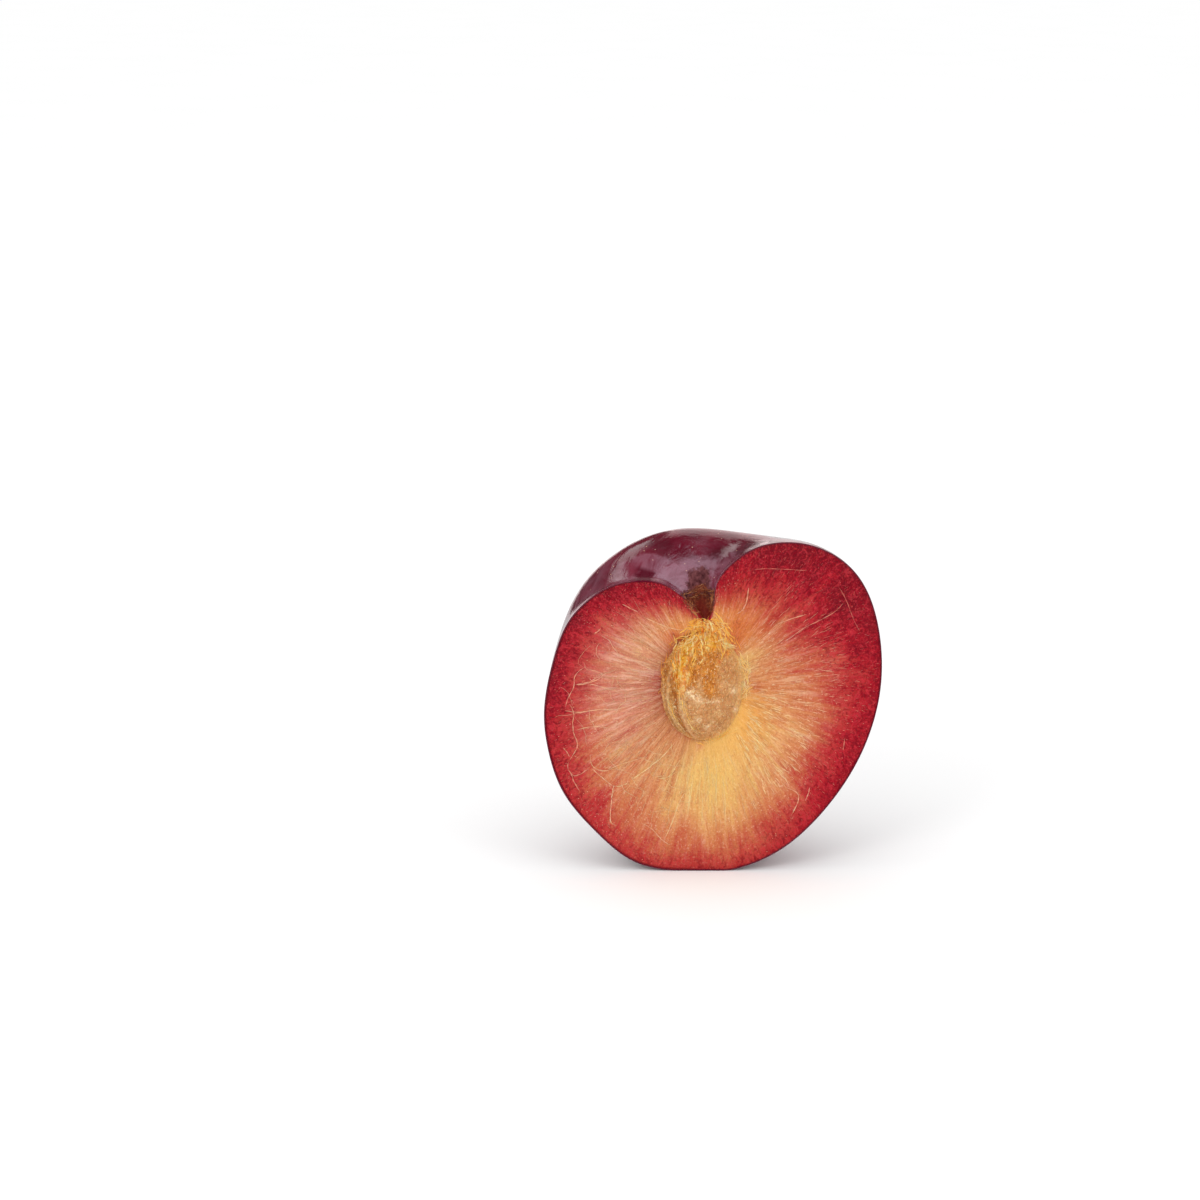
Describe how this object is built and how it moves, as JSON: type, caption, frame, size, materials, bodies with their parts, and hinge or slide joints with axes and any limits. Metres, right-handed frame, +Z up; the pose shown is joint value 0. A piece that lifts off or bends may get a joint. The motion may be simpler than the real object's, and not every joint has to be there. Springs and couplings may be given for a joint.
{
  "type": "halved pluot",
  "caption": "Half of a dark-skinned pluot, a plum and apricot cross, cut along its suture, with the stone left in its flesh. It stands on a small flat spot.",
  "frame": {"origin": "on the flat spot that the half rests on, 11 mm behind the foot of the cut face", "axes": "+Z up the stem axis but for the 4 degree lean, -Y out of the cut face, +X to the dorsal side, away from the suture"},
  "size_m": [0.0595, 0.0336, 0.0588],
  "materials": {
    "skin": "dark maroon fruit skin with a waxy gloss",
    "flesh": "wet cut flesh, crimson near the skin and golden round the stone",
    "stone": "pitted tan stone, damp"
  },
  "bodies": {
    "root": {"cut_half": "skin", "stone": "stone"}
  },
  "joints": []
}
